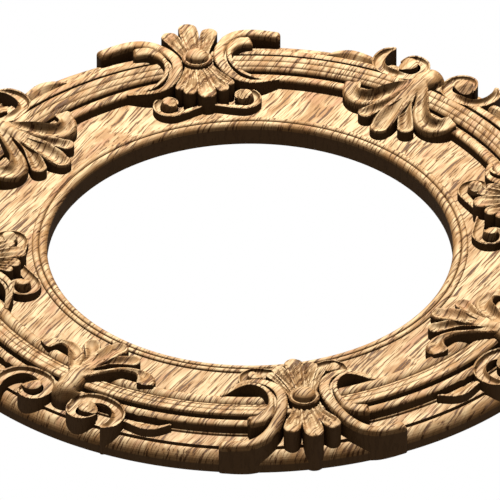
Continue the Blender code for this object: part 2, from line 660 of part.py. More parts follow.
def wood_material():
    material = bpy.data.materials.new("carved_wood")
    material.use_nodes = True
    shader = material.node_tree.nodes["Principled BSDF"]
    shader.inputs["Base Color"].default_value = WOOD_COLOUR
    shader.inputs["Roughness"].default_value = WOOD_ROUGHNESS
    shader.inputs["Metallic"].default_value = 0.0
    return material


def carved_frame():
    radii, heights = moulding_profile()
    shapes = palmette() + acanthus()
    flat, triangles = triangulate(plan_lines(shapes, radii, heights))
    triangles, level = corner_heights(flat, triangles, shapes, radii, heights)
    sides = settle_levels(flat, triangles, level)
    vertices, faces = mirror_all(*thin_out(*build_eighth(flat, triangles, level, sides)))
    upright = np.column_stack([vertices[:, 0], -vertices[:, 2], vertices[:, 1]]) * MM
    mesh = bpy.data.meshes.new("carved_frame")
    mesh.from_pydata(upright.tolist(), [], faces.tolist())
    mesh.materials.append(wood_material())
    mesh.shade_smooth()
    mesh.set_sharp_from_angle(angle=math.radians(35.0))
    frame = bpy.data.objects.new("carved_frame", mesh)
    bpy.context.scene.collection.objects.link(frame)
    return frame


carved_frame()
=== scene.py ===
import math

import bpy
import numpy as np
from mathutils import Matrix, Vector
from mathutils.geometry import delaunay_2d_cdt


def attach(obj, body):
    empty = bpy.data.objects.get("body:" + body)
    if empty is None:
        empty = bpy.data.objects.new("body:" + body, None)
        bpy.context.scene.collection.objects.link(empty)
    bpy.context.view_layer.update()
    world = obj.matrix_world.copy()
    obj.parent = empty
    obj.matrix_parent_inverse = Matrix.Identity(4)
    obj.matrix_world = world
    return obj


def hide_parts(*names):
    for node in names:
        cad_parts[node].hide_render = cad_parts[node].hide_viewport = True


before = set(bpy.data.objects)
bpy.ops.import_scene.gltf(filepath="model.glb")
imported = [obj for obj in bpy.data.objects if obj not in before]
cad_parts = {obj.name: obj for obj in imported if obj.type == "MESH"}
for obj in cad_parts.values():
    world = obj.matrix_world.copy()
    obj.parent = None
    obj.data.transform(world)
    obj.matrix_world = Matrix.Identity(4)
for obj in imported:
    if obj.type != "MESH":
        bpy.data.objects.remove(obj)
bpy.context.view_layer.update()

# The carving is worked out lying on its back: x and y in the plane of the ring, z the height above the flat
# back, all in millimetres. One eighth is built, from the palmette's middle (+y) to the leaf's (45 degrees).

# Curves in the plan

meshing = {
    "pathStep": 0.7,                     # along a curve
    "outlineTolerance": 0.05,
    "edgeOffsets": (0.3, 0.8, 1.5, 2.4, 3.5),      # rows of points inside an outline
    "stripStep": 1.15,                   # between points further inside a strip
    "spotStep": 1.0,                     # between rings of points further inside a round spot
    "spotArc": 1.05,                     # between the points of such a ring
    "mirrorStep": 0.9,                   # between points on the two mirror lines
    "sampleGap": 0.78,                   # least distance between two surface points
    "lineGap": 0.28,                     # least distance of a surface point from the end of a line
    "joinLevels": 0.03,                  # heights nearer than this are made one
    "ringFacets": 30,                    # in the eighth
    "squareBend": 0.45,                  # a squared end's corners: 1 is round, 0 is sharp
    "squarePower": 4.44,                 # the same corners as a power, about 2 / squareBend
}


def smoothPath(rows, step):
    rows = np.array(rows, float)
    knots = np.concatenate([[0.0], np.cumsum(np.hypot(*np.diff(rows[:, :2], axis=0).T))])
    slopes = np.gradient(rows, knots, axis=0)
    t = np.linspace(0.0, knots[-1], max(3, int(round(knots[-1] / step)) + 1))
    i = np.clip(np.searchsorted(knots, t, side="right") - 1, 0, len(knots) - 2)
    span = (knots[i + 1] - knots[i])[:, None]
    f = (t - knots[i])[:, None] / span
    start = (2 * f**3 - 3 * f**2 + 1) * rows[i] + (f**3 - 2 * f**2 + f) * span * slopes[i]
    end = (3 * f**2 - 2 * f**3) * rows[i + 1] + (f**3 - f**2) * span * slopes[i + 1]
    return start + end


def thinLine(points, tolerance):
    if len(points) < 3:
        return points
    chord = points[-1] - points[0]
    away = points - points[0]
    length = math.hypot(*chord)
    if length < 1e-9:
        distance = np.hypot(*away.T)
    else:
        distance = np.abs(chord[0] * away[:, 1] - chord[1] * away[:, 0]) / length
    far = int(np.argmax(distance))
    if distance[far] <= tolerance:
        return points[[0, -1]]
    return np.vstack([thinLine(points[:far + 1], tolerance)[:-1], thinLine(points[far:], tolerance)])


def liesInside(outline, points):
    # counts the turns that the outline takes round each point, where its box holds the point
    near = np.nonzero(((points >= outline.min(axis=0)) & (points <= outline.max(axis=0))).all(axis=1))[0]
    x, y = points[near].T
    turns = np.zeros(len(near), int)
    for (ax, ay), (bx, by) in zip(outline, np.roll(outline, -1, axis=0)):
        side = (bx - ax) * (y - ay) - (x - ax) * (by - ay)
        turns += (ay <= y) & (y < by) & (side > 0)
        turns -= (by <= y) & (y < ay) & (side < 0)
    inside = np.zeros(len(points), bool)
    inside[near] = turns != 0
    return inside


def roundEdge(inward, radius):
    # how far a rounded edge has dropped, at a distance inward from the outline
    short = np.clip(radius - inward, 0.0, radius)
    return radius - np.sqrt(np.maximum(radius**2 - short**2, 0.0))


class Ribbon:
    # A strip of carving along a curve, with rows of x, y, height and half width. section(t, s, inward)
    # lifts or sinks it: t goes from -1 to 1 across, s from 0 to 1 along, and inward is the way in from
    # the outline.
    # With openTip, t at an end still counts across alone; without it, t reaches 1 all round the end.
    def __init__(self, rows, section, squareStart=0.0, squareEnd=0.0, clearsRing=False, openTip=False):
        self.path = smoothPath(rows, meshing["pathStep"])
        self.section = section
        self.clearsRing = clearsRing
        self.openTip = openTip
        point = self.path[:, :2]
        along = np.gradient(point, axis=0)
        along /= np.hypot(*along.T)[:, None]
        self.left = np.column_stack([-along[:, 1], along[:, 0]]) * self.path[:, 3:4]
        self.ends = ((point[0], -along[0], self.left[0], squareStart),
                     (point[-1], along[-1], -self.left[-1], squareEnd))
        first, last = (self.cap(*end, 1.0, 25) for end in self.ends)
        sides = (point + self.left, last, (point - self.left)[::-1], first)
        self.outline = np.vstack([thinLine(side, meshing["outlineTolerance"])[:-1] for side in sides])
        self.low, self.high = self.outline.min(axis=0), self.outline.max(axis=0)

    @staticmethod
    def cap(centre, ahead, side, square, scale, count):
        turn = np.linspace(-math.pi / 2, math.pi / 2, count)
        across, along = np.sin(turn), np.cos(turn)
        if square:
            across = np.sign(across) * np.abs(across) ** meshing["squareBend"]
            along = along ** meshing["squareBend"]
        reach = square or math.hypot(*side)
        return centre + scale * (np.outer(across, side) + np.outer(along * reach, ahead))

    def samples(self):
        points = []
        step = meshing["stripStep"]
        stride = max(1, int(round(step / meshing["pathStep"])))
        for k in range(0, len(self.path), stride):
            width = self.path[k, 3]
            inner = np.arange(meshing["edgeOffsets"][-1] + step, width - 0.5, step)
            offsets = [d for d in (*meshing["edgeOffsets"], *inner) if d < width - 0.35]
            for d in (*offsets, width):
                t = 1 - d / width
                points.append(self.path[k, :2] + t * self.left[k])
                points.append(self.path[k, :2] - t * self.left[k])
        for end in self.ends:
            width = math.hypot(*end[2])
            for d in meshing["edgeOffsets"]:
                if d < width - 0.3:
                    points.extend(self.cap(*end, 1 - d / width, max(5, int(width * 2.6))))
        return np.array(points)

    def height(self, points):
        start = self.path[:-1, :2]
        run = self.path[1:, :2] - start
        away = points[:, None, :] - start[None]
        part = np.clip((away * run).sum(2) / (run**2).sum(1), 0.0, 1.0)
        gap = away - part[..., None] * run
        nearest = np.argmin((gap**2).sum(2), axis=1)
        row = np.arange(len(points))
        part, gap = part[row, nearest], gap[row, nearest]
        value = self.path[nearest] + part[:, None] * (self.path[nearest + 1] - self.path[nearest])
        across = (run[nearest, 0] * gap[:, 1] - run[nearest, 1] * gap[:, 0]) / np.hypot(*run[nearest].T)
        width, reach = value[:, 3], np.hypot(*gap.T)
        beyond = ((nearest == 0) & (part <= 0), (nearest == len(run) - 1) & (part >= 1))
        for (_, ahead, _, square), past in zip(self.ends, beyond):
            if square:
                onward = np.maximum(gap @ ahead, 0.0) / square
                power = meshing["squarePower"]
                squared = width * (np.abs(across / width) ** power + onward**power) ** (1 / power)
                reach = np.where(past, squared, reach)
        offset = across if self.openTip else np.where(across < 0, -reach, reach)
        t = np.clip(offset / width, -1.0, 1.0)
        return value[:, 2] + self.section(t, (nearest + part) / len(run), np.maximum(width - reach, 0.0))


class Spot:
    # A round raised place, whose height follows the distance from its middle. A ramp of uphill direction,
    # lowest height and rise cuts its top down on one side.
    def __init__(self, centre, radius, profile, ramp=None):
        self.centre = np.array(centre, float)
        self.radius = radius
        self.profile = np.array(profile, float)
        self.clearsRing = False
        self.ramp = ramp
        count = max(24, int(radius * 5))
        turn = np.arange(count) * 2 * math.pi / count + math.pi / 2
        self.outline = self.centre + radius * np.column_stack([np.cos(turn), np.sin(turn)])
        self.low, self.high = self.outline.min(axis=0), self.outline.max(axis=0)

    def samples(self):
        points = [self.centre]
        step = meshing["spotStep"]
        inner = np.arange(meshing["edgeOffsets"][-1] + step, self.radius - 0.6, step)
        for d in (*meshing["edgeOffsets"], *inner):
            reach = self.radius - d
            if reach > 0.5:
                count = max(6, int(reach * 2 * math.pi / meshing["spotArc"]))
                turn = np.arange(count) * 2 * math.pi / count + math.pi / 2
                points.extend(self.centre + reach * np.column_stack([np.cos(turn), np.sin(turn)]))
        return np.array(points)

    def height(self, points):
        away = points - self.centre
        height = np.interp(np.hypot(*away.T), self.profile[:, 0], self.profile[:, 1])
        if self.ramp:
            uphill, low, rise = self.ramp
            height = np.minimum(height, low + rise * (self.radius + away @ np.array(uphill)))
        return height


# The ring of mouldings

ring = {
    "opening": 200.0,
    "outside": 350.0,
    # radius, height, bulge of the run that follows, steps in that run; two heights at one radius are a step
    "profile": [
        (200.0, 17.2, 3.6, 9),       # bead at the opening
        (208.5, 20.2, 2.6, 8),       # second bead
        (215.2, 20.7, 0.0, 1),       # flat panel
        (266.2, 20.7, 0.0, 1),
        (266.2, 28.6, 4.0, 11),      # bead on the panel's outer side
        (279.3, 26.6, 0.0, 1),
        (280.9, 26.4, 0.0, 1),
        (280.9, 30.6, 1.3, 4),       # broad band: a narrow reed, then two wide shallow ones
        (286.2, 32.8, 1.2, 6),
        (294.0, 34.0, 1.2, 6),
        (302.0, 34.8, 0.0, 1),
        (303.0, 33.6, 0.0, 1),
        (303.0, 27.2, 0.0, 1),       # valley
        (307.6, 27.2, 0.0, 1),
        (307.6, 31.8, 2.0, 7),       # outer bead
        (316.9, 30.6, 0.0, 1),
        (316.9, 22.6, 0.5, 3),       # fillet under it
        (318.5, 22.0, 0.0, 1),
        (318.9, 20.5, 0.0, 1),       # ledge
        (334.9, 20.3, 0.0, 1),
        (334.9, 15.4, 4.2, 12),      # outer quarter round
        (350.0, 8.8, 0.0, 1),
    ],
}


def mouldingProfile():
    radii, heights = [], []
    for (r0, z0, bulge, steps), (r1, z1, _, _) in zip(ring["profile"], ring["profile"][1:]):
        for k in range(steps):
            f = (1 - math.cos(math.pi * k / steps)) / 2 if bulge else k / steps
            radii.append(r0 + (r1 - r0) * f)
            heights.append(z0 + (z1 - z0) * f + bulge * math.sin(math.pi * k / steps))
    radii.append(ring["profile"][-1][0])
    heights.append(ring["profile"][-1][1])
    return np.array(radii), np.array(heights)


radii, ringHeights = mouldingProfile()


def facetRadius(points):
    step = math.pi / 4 / meshing["ringFacets"]
    middle = (np.floor(np.arctan2(points[:, 1], points[:, 0]) / step + 1e-9) + 0.5) * step
    return (points[:, 0] * np.cos(middle) + points[:, 1] * np.sin(middle)) / math.cos(step / 2)


# The palmette, on the +y axis

palmette = {
    "boss": (0.0, 289.5),
    "bossRadius": 15.2,
    # low dome in a round rim: radius, height
    "bossProfile": [
        (0.0, 52.3), (1.6, 52.25), (3.2, 52.05), (4.8, 51.7), (6.4, 51.2), (7.8, 50.6), (9.0, 49.9),
        (10.0, 49.0), (10.8, 47.9), (11.3, 46.7), (11.6, 45.2), (11.9, 44.3), (12.3, 44.4), (12.7, 45.4),
        (13.4, 45.8), (14.3, 45.5), (15.2, 44.0)],
    "stem": [(5.0, 231.0, 27.0, 4.2), (14.0, 228.0, 27.0, 4.6), (25.0, 224.0, 27.0, 5.2)],
    "voluteAt": (38.8, 234.2),
    # spiral of the volute: degrees round the eye, distance of its outer edge from the middle, height
    "spiral": [(-88, 18.2, 27.0), (-45, 16.8, 27.0), (0, 15.7, 27.0), (45, 15.3, 27.6), (90, 14.4, 28.8),
               (130, 12.4, 30.2), (160, 10.4, 31.0), (180, 9.2, 31.4)],
    "eyeRadius": 8.6,
    "eyeProfile": [(0.0, 36.2), (5.6, 36.1), (6.6, 35.6), (7.1, 34.6), (8.6, 28.0)],
    "eyeRamp": ((0.92, 0.38), 31.5, 0.5),        # uphill direction, lowest height, rise
    # each petal from its base to its tip: x, y, height, half width
    "petals": [
        [(0.0, 300.0, 39.8, 6.0), (0.0, 312.0, 40.4, 7.2), (0.0, 326.0, 41.8, 8.8),
         (0.0, 338.0, 43.0, 9.6), (0.0, 343.4, 43.2, 9.4)],
        [(8.5, 299.0, 39.8, 4.6), (11.5, 311.0, 40.4, 6.0), (15.5, 322.0, 41.6, 7.5),
         (19.0, 331.0, 42.8, 8.4), (20.0, 333.4, 42.9, 8.3)],
        [(0.0, 278.0, 41.2, 4.8), (0.0, 263.0, 42.6, 6.2), (0.0, 248.0, 43.6, 7.8),
         (0.0, 236.0, 43.8, 9.2), (0.0, 233.0, 43.8, 9.2)],
        [(6.0, 279.0, 41.0, 4.0), (8.5, 266.0, 42.4, 4.8), (12.0, 252.0, 43.2, 6.0),
         (15.4, 241.5, 43.6, 6.8), (16.2, 239.0, 43.6, 6.8)],
        [(11.0, 280.0, 41.0, 3.2), (14.5, 268.5, 42.2, 3.9), (19.0, 257.5, 43.0, 4.6),
         (24.0, 248.0, 43.4, 4.9), (25.0, 246.2, 43.4, 4.8)],
    ],
    "petalHollow": 3.0,
    "petalEdge": 0.9,
    "petalTip": 2.6,
    # broad band of the C scroll, from its squared outer end round the waist to its tail
    "band": [
        (86.0, 334.6, 32.0, 6.8), (74.0, 338.0, 33.0, 6.8), (62.0, 339.6, 34.2, 6.8),
        (50.0, 336.6, 36.4, 7.0), (39.5, 328.5, 39.2, 6.8), (31.0, 316.0, 42.2, 6.2),
        (24.8, 301.5, 44.6, 5.7), (21.4, 286.0, 45.5, 5.2), (23.0, 273.0, 45.0, 5.0),
        (27.5, 262.5, 43.5, 4.7), (35.0, 253.8, 41.5, 3.9), (46.0, 248.4, 39.8, 2.8),
        (57.0, 249.2, 37.8, 2.4), (66.0, 252.4, 35.6, 2.2), (75.5, 256.6, 32.6, 1.9)],
    # thin rim of the C scroll, from the hook inside its outer end to its tail
    "rim": [
        (54.0, 314.5, 42.4, 7.8), (48.0, 314.0, 43.0, 7.8), (41.0, 309.5, 43.5, 6.6),
        (35.8, 301.5, 44.5, 4.4), (33.0, 293.0, 45.3, 3.0), (32.0, 284.0, 45.5, 2.5),
        (33.2, 275.0, 45.2, 2.3), (36.5, 266.5, 44.2, 2.1), (41.8, 259.2, 43.0, 1.9),
        (48.5, 254.6, 41.4, 1.7), (57.0, 253.0, 38.4, 1.6), (65.5, 254.8, 35.8, 1.5),
        (73.5, 257.6, 33.0, 1.4)],
    # floor of the channel between the two
    "channel": [
        (29.5, 303.0, 40.0, 4.0), (27.0, 285.0, 40.5, 4.5), (30.5, 268.0, 39.5, 5.0),
        (40.0, 255.0, 37.0, 3.4), (50.0, 251.2, 35.4, 1.5), (58.0, 251.0, 34.4, 0.8)],
}


def petalSection(t, s, inward):
    # raised edges and a rib between two flutes, which run out over the rounded tip
    flutes = np.interp(np.abs(t), (0.0, 0.14, 0.42, 0.62, 0.88, 1.0), (0.15, 0.35, 1.0, 0.85, 0.05, 0.0))
    soft = np.interp(s, (0.75, 1.0), (palmette["petalEdge"], palmette["petalTip"]))
    fade = np.interp(s, (0.0, 0.75, 1.0), (0.7, 1.0, 0.5)) * np.clip(inward / 3.2, 0.25, 1.0)
    return -palmette["petalHollow"] * flutes * fade - 0.8 * roundEdge(inward, soft)


def bandSection(t, s, inward):
    soft = np.interp(s, (0.0, 0.35, 0.5, 1.0), (4.6, 4.2, 1.4, 0.9))
    return -roundEdge(inward, soft) - np.interp(s, (0.0, 0.35, 0.6, 1.0), (1.2, 1.2, 0.3, 0.0)) * t**2


def rimSection(t, s, inward):
    soft = np.interp(s, (0.0, 0.25, 0.4, 1.0), (5.2, 4.0, 1.2, 0.8))
    return -roundEdge(inward, soft)


def channelSection(t, s, inward):
    return 0.0 * t


def spiralSection(t, s, inward):
    # thin rim on the outer side, which runs out before the eye
    outer = np.where(t < 0, inward, 9.0)
    rim = np.interp(outer, (0.0, 0.5, 1.6, 2.6, 4.0), (2.6, 3.5, 3.5, 1.0, 0.0))
    return rim * np.interp(s, (0.7, 0.97), (1.0, 0.0)) - 0.9 * np.clip(t, 0, 1)


def palmetteShapes():
    shapes = [Spot(palmette["boss"], palmette["bossRadius"], palmette["bossProfile"])]
    for rows in palmette["petals"]:
        shapes.append(Ribbon(rows, petalSection, openTip=True))
    shapes.append(Ribbon(palmette["band"], bandSection, squareStart=6.5))
    shapes.append(Ribbon(palmette["rim"], rimSection, squareStart=6.0))
    shapes.append(Ribbon(palmette["channel"], channelSection))
    # volute on the panel: its stem from the middle petal, then a spiral that closes on the eye
    inner = palmette["eyeRadius"] - 0.8
    x, y = palmette["voluteAt"]
    rows = list(palmette["stem"])
    for degrees, outer, height in palmette["spiral"]:
        angle, middle = math.radians(degrees), (outer + inner) / 2
        width = (outer - inner) / 2 + 0.3
        rows.append((x + middle * math.cos(angle), y + middle * math.sin(angle), height, width))
    shapes.append(Ribbon(rows, spiralSection, clearsRing=True))
    shapes.append(Spot((x, y), palmette["eyeRadius"], palmette["eyeProfile"], palmette["eyeRamp"]))
    return shapes


# The acanthus leaf at 45 degrees, with s across from its middle line and v out from the ring's centre

leaf = {
    # each strip: s, v, height, half width
    "middleLobe": [
        (0.0, 316.0, 43.6, 11.6), (0.0, 308.0, 45.2, 12.6), (0.0, 298.0, 45.8, 10.6),
        (0.0, 286.0, 44.6, 8.6), (0.0, 270.0, 43.0, 8.6), (0.0, 254.0, 40.5, 9.8),
        (0.0, 240.0, 37.5, 10.8), (0.0, 230.0, 34.5, 10.8), (0.0, 226.5, 33.0, 9.8)],
    # domed head over the lobe's foot: place, radius, height in the middle and at the edge
    "headAt": (0.0, 317.0),
    "headRadius": 14.6,
    "headHeights": (44.4, 27.0),
    "lobeHollow": 7.0,
    "sideLobe": [
        (2.0, 288.0, 43.5, 3.2), (5.0, 274.0, 42.0, 4.0), (9.5, 260.0, 40.5, 5.6),
        (16.5, 248.0, 38.0, 7.4), (23.6, 237.6, 34.5, 8.2)],
    "hook": [
        (5.0, 296.0, 44.5, 5.0), (13.0, 283.0, 43.0, 6.4), (20.0, 270.5, 41.0, 8.0),
        (27.0, 259.8, 38.8, 8.9), (35.5, 253.6, 37.2, 9.3), (45.5, 252.0, 36.8, 9.3),
        (54.0, 256.8, 37.2, 9.0), (58.6, 265.6, 37.6, 8.4)],
    # scroll on the outer mouldings: ear, run along the band, spiral round the eye
    "scroll": [
        (61.6, 343.4, 32.6, 2.4), (65.6, 336.5, 32.2, 5.0), (66.4, 329.5, 32.0, 6.0),
        (64.6, 320.8, 32.0, 6.5), (58.6, 312.2, 32.4, 6.5), (49.4, 307.8, 32.8, 6.2),
        (38.5, 307.4, 33.0, 6.6), (28.5, 309.6, 32.8, 6.8), (20.4, 315.0, 32.4, 6.2),
        (16.8, 323.5, 32.2, 5.2), (17.4, 332.5, 32.0, 4.9), (21.5, 339.3, 32.0, 4.7),
        (28.4, 342.3, 32.2, 4.5), (35.6, 341.2, 32.6, 3.9), (40.8, 336.2, 32.2, 2.6),
        (43.5, 330.4, 31.2, 1.3)],
    "eyeAt": (33.2, 327.0),
    "eyeRadius": 9.6,
    "eyeTop": 36.3,
    "eyeRamp": ((0.95, -0.31), 30.5, 0.6),       # uphill direction, lowest height, rise
    # tail of the scroll, with a web that slopes down to the outer bead: degrees, radius, height, half width
    "tail": [
        (65.2, 319.5, 30.6, 3.0), (64.2, 321.9, 30.5, 5.4), (63.0, 324.3, 30.3, 7.8),
        (61.6, 325.6, 30.2, 9.1), (60.0, 325.0, 30.3, 8.5), (58.9, 324.1, 30.5, 7.6),
        (58.0, 323.4, 30.4, 6.9), (57.2, 322.6, 27.8, 6.0)],
}


def leafPlace(rows):
    rows = np.array(rows, float)
    across, out = rows[:, 0], rows[:, 1]
    half = math.sqrt(0.5)
    return np.column_stack([(out - across) * half, (out + across) * half, rows[:, 2:]])


def middleLobeSection(t, s, inward):
    # the neck's rounded back opens into a spoon with thick rolled edges
    head = 5.5 * np.abs(t) ** 2.6 + roundEdge(inward, 2.4)
    depth = leaf["lobeHollow"] * np.interp(s, (0.8, 1.0), (1.0, 0.7))
    hollow = depth * (1 - t**2) ** 1.5 + roundEdge(inward, np.interp(s, (0.6, 1.0), (2.6, 4.4)))
    opened = np.clip(2.6 * s - 0.85, 0, 1)
    return -head * (1 - opened) - hollow * opened


def sideLobeSection(t, s, inward):
    depth = leaf["lobeHollow"] * np.interp(s, (0.0, 0.75, 1.0), (0.35, 1.0, 0.7))
    return -depth * (1 - t**2) ** 1.5 - roundEdge(inward, np.interp(s, (0.5, 1.0), (2.2, 3.6)))


def hookSection(t, s, inward):
    # high thin rim on the inner side, hollow, then a lower ridge that rolls down to the outer edge,
    # all of it weaker towards the cut end
    gutter = np.interp(t, (-1.0, -0.9, -0.78, -0.45, -0.1, 0.25, 0.5, 0.75, 0.9, 1.0),
                       (1.4, 3.0, 3.0, -3.6, -6.0, -5.2, -3.8, -4.8, -7.2, -10.4))
    depth = np.interp(s, (0.0, 0.33, 0.75, 1.0), (0.0, 1.0, 1.0, 0.15))
    return gutter * depth - 2.0 * t**4 * np.clip(1 - 3 * s, 0, 1) - roundEdge(inward, 0.5)


def scrollSection(t, s, inward):
    # thin rims and a gutter; round the eye only the outer rim stays, and the gutter is shallow
    outer = np.where(t < 0, inward, 9.0)
    inner = np.where(t < 0, 9.0, inward)
    volute = np.interp(s, (0.42, 0.56), (0.0, 1.0))
    floor = -4.4 + 1.6 * volute
    outerRim = np.interp(outer, (0.0, 0.35, 1.3, 2.2, 3.4), (0.9, 1.0, 1.0, 0.3, 0.0))
    innerRim = np.interp(inner, (0.0, 0.35, 1.1, 2.0, 3.2), (0.9, 1.0, 0.9, 0.25, 0.0))
    lift = floor + outerRim * (0.8 - floor)
    raised = floor + innerRim * (0.5 - floor)
    lift = np.maximum(lift, raised * (1 - volute) + floor * volute)
    return lift * np.interp(s, (0.0, 0.06, 1.0), (0.2, 0.8, 1.0))


def tailSection(t, s, inward):
    web = np.interp(t, (-1.0, -0.4, 0.3, 0.42, 0.7, 1.0), (-8.0, -5.6, -0.9, -0.2, -0.3, 0.0))
    return web - roundEdge(inward, 0.9)


def leafShapes():
    radius, (top, foot) = leaf["headRadius"], leaf["headHeights"]
    slope = np.linspace(0.0, math.pi / 2, 15)
    dome = [(radius * math.sin(a), foot + (top - foot) * math.cos(a)) for a in slope]
    shapes = [Spot(leafPlace([leaf["headAt"]])[0][:2], radius, dome),
              Ribbon(leafPlace(leaf["middleLobe"]), middleLobeSection),
              Ribbon(leafPlace(leaf["sideLobe"]), sideLobeSection),
              Ribbon(leafPlace(leaf["hook"]), hookSection, squareEnd=3.2, clearsRing=True, openTip=True),
              Ribbon(leafPlace(leaf["scroll"]), scrollSection, clearsRing=True)]
    radius, top = leaf["eyeRadius"], leaf["eyeTop"]
    eye = [(0.0, top), (radius * 0.7, top - 0.1), (radius * 0.9, top - 0.5), (radius, top - 1.2)]
    shapes.append(Spot(leafPlace([leaf["eyeAt"]])[0][:2], radius, eye, leaf["eyeRamp"]))
    rows = []
    for degrees, radius, height, width in leaf["tail"]:
        angle = math.radians(degrees)
        rows.append((radius * math.cos(angle), radius * math.sin(angle), height, width))
    shapes.append(Ribbon(rows, tailSection, squareStart=2.4, squareEnd=2.0, openTip=True))
    return shapes


# Plan of the eighth, and its surface

def uncovered(starts, ends, shapes):
    # the parts of straight lines that no shape covers
    parts = []
    for start, end in zip(starts, ends):
        run = end - start
        cuts = [0.0, 1.0]
        for shape in shapes:
            if (np.maximum(start, end) < shape.low).any() or (np.minimum(start, end) > shape.high).any():
                continue
            edge = np.roll(shape.outline, -1, axis=0) - shape.outline
            cross = run[0] * edge[:, 1] - run[1] * edge[:, 0]
            cross = np.where(np.abs(cross) < 1e-12, 1e-12, cross)
            away = shape.outline - start
            at = (away[:, 0] * edge[:, 1] - away[:, 1] * edge[:, 0]) / cross
            part = (away[:, 0] * run[1] - away[:, 1] * run[0]) / cross
            cuts.extend(at[(part >= 0) & (part <= 1) & (at > 0) & (at < 1)])
        cuts = sorted(cuts)
        for low, high in zip(cuts, cuts[1:]):
            if high - low > 1e-6:
                parts.append((start + run * low, start + run * high))
    middles = np.array([(a + b) / 2 for a, b in parts])
    covered = np.array([liesInside(shape.outline, middles) for shape in shapes]).any(axis=0)
    return [part for part, under in zip(parts, covered) if not under]


def hiddenAt(number, points, shapes):
    # True where another shape, or the ring, stands higher than this one
    own = shapes[number].height(points)
    hidden = np.zeros(len(points), bool)
    for k, other in enumerate(shapes):
        if k != number:
            under = np.nonzero(liesInside(other.outline, points))[0]
            if len(under):
                hidden[under] |= other.height(points[under]) > own[under] + 1e-6
    if not shapes[number].clearsRing:
        radius = facetRadius(points)
        hidden |= (radius < ring["outside"]) & (np.interp(radius, radii, ringHeights) > own)
    return hidden


def planOf(shapes):
    # the lines that the surface breaks along, and the points that shape it between them
    angles = np.linspace(math.pi / 4, math.pi / 2, meshing["ringFacets"] + 1)
    circle = np.column_stack([np.cos(angles), np.sin(angles)])
    starts = np.vstack([circle[:-1] * radius for radius in np.unique(radii)])
    ends = np.vstack([circle[1:] * radius for radius in np.unique(radii)])
    lines, spots = uncovered(starts, ends, shapes), []
    near, far = ring["opening"], ring["outside"] + 20
    mirrors = np.array([(0.0, 1.0), (math.sqrt(0.5), math.sqrt(0.5))])
    out = np.arange(near, far, meshing["mirrorStep"])
    mirrorPoints = np.vstack([np.outer(out, mirror) for mirror in mirrors])
    for number, shape in enumerate(shapes):
        loop = np.vstack([shape.outline, shape.outline[:1]])
        hidden = hiddenAt(number, np.vstack([loop, (loop[1:] + loop[:-1]) / 2]), shapes)
        count = len(loop)
        for k in range(count - 1):
            if not (hidden[k] and hidden[k + 1] and hidden[count + k]):
                lines.append((loop[k], loop[k + 1]))
        points = shape.samples()
        # clear of the two mirror lines, which have points of their own
        points = points[(points[:, 0] > 0.35) & (points[:, 0] < points[:, 1] - 0.5)]
        points = np.vstack([points, mirrorPoints[liesInside(shape.outline, mirrorPoints)]])
        spots.extend(points[~hiddenAt(number, points, shapes)])
    lines.extend((near * mirror, far * mirror) for mirror in mirrors)
    return lines, spots


def sparse(points, gap, taken):
    # keeps each point that has no kept neighbour within the gap, and no end of a line close by
    cells, kept = {}, []
    for k, (x, y) in enumerate([*taken, *points]):
        i, j = int(x // gap), int(y // gap)
        near = [p for a in (i - 1, i, i + 1) for b in (j - 1, j, j + 1) for p in cells.get((a, b), ())]
        isTaken = k < len(taken)
        if isTaken or all(math.hypot(x - p[0], y - p[1]) > p[2] for p in near):
            cells.setdefault((i, j), []).append((x, y, meshing["lineGap"] if isTaken else gap))
            if not isTaken:
                kept.append((x, y))
    return kept


def triangulate(lines, spots):
    ends = [point for line in lines for point in line]
    edges = [(2 * k, 2 * k + 1) for k in range(len(lines))]
    points = [Vector(p) for p in ends] + [Vector(p) for p in sparse(spots, meshing["sampleGap"], ends)]
    result = delaunay_2d_cdt(points, edges, [], 0, 0.06)
    flat = np.array([tuple(point) for point in result[0]])
    # what lies beside a mirror line is put on it
    flat[np.abs(flat[:, 0]) < 0.1, 0] = 0.0
    diagonal = np.abs(flat[:, 0] - flat[:, 1]) < 0.12
    flat[diagonal] = flat[diagonal].mean(axis=1)[:, None]
    triangles = np.array([tuple(face) for face in result[2]])
    corner = flat[triangles]
    area = np.cross(corner[:, 1] - corner[:, 0], corner[:, 2] - corner[:, 0])
    triangles[area < 0] = triangles[area < 0][:, ::-1]
    middle = corner.mean(axis=1)
    keep = (np.abs(area) > 1e-5) & (middle[:, 0] > 0) & (middle[:, 0] < middle[:, 1])
    return flat, triangles[keep]


def cornerHeights(flat, triangles, shapes):
    middle = flat[triangles].mean(axis=1)
    radius = facetRadius(middle)
    onRing = (radius > ring["opening"]) & (radius < ring["outside"])
    cover = np.array([liesInside(shape.outline, middle) for shape in shapes])
    wood = onRing | cover.any(axis=0)
    triangles, onRing, cover = triangles[wood], onRing[wood], cover[:, wood]
    band = np.clip(np.searchsorted(radii, radius[wood], side="right") - 1, 0, len(radii) - 2)
    inner, outer = radii[band][:, None], radii[band + 1][:, None]
    part = (np.clip(facetRadius(flat)[triangles], inner, outer) - inner) / (outer - inner)
    level = ringHeights[band][:, None] * (1 - part) + ringHeights[band + 1][:, None] * part
    level = np.where(onRing[:, None], level, -1.0)
    for shape, covered in zip(shapes, cover):
        if shape.clearsRing:
            level[covered] = -1.0
    for shape, covered in zip(shapes, cover):
        used = np.unique(triangles[covered])
        if len(used):
            own = np.zeros(len(flat))
            own[used] = shape.height(flat[used])
            level[covered] = np.maximum(level[covered], own[triangles[covered]])
    return triangles, level


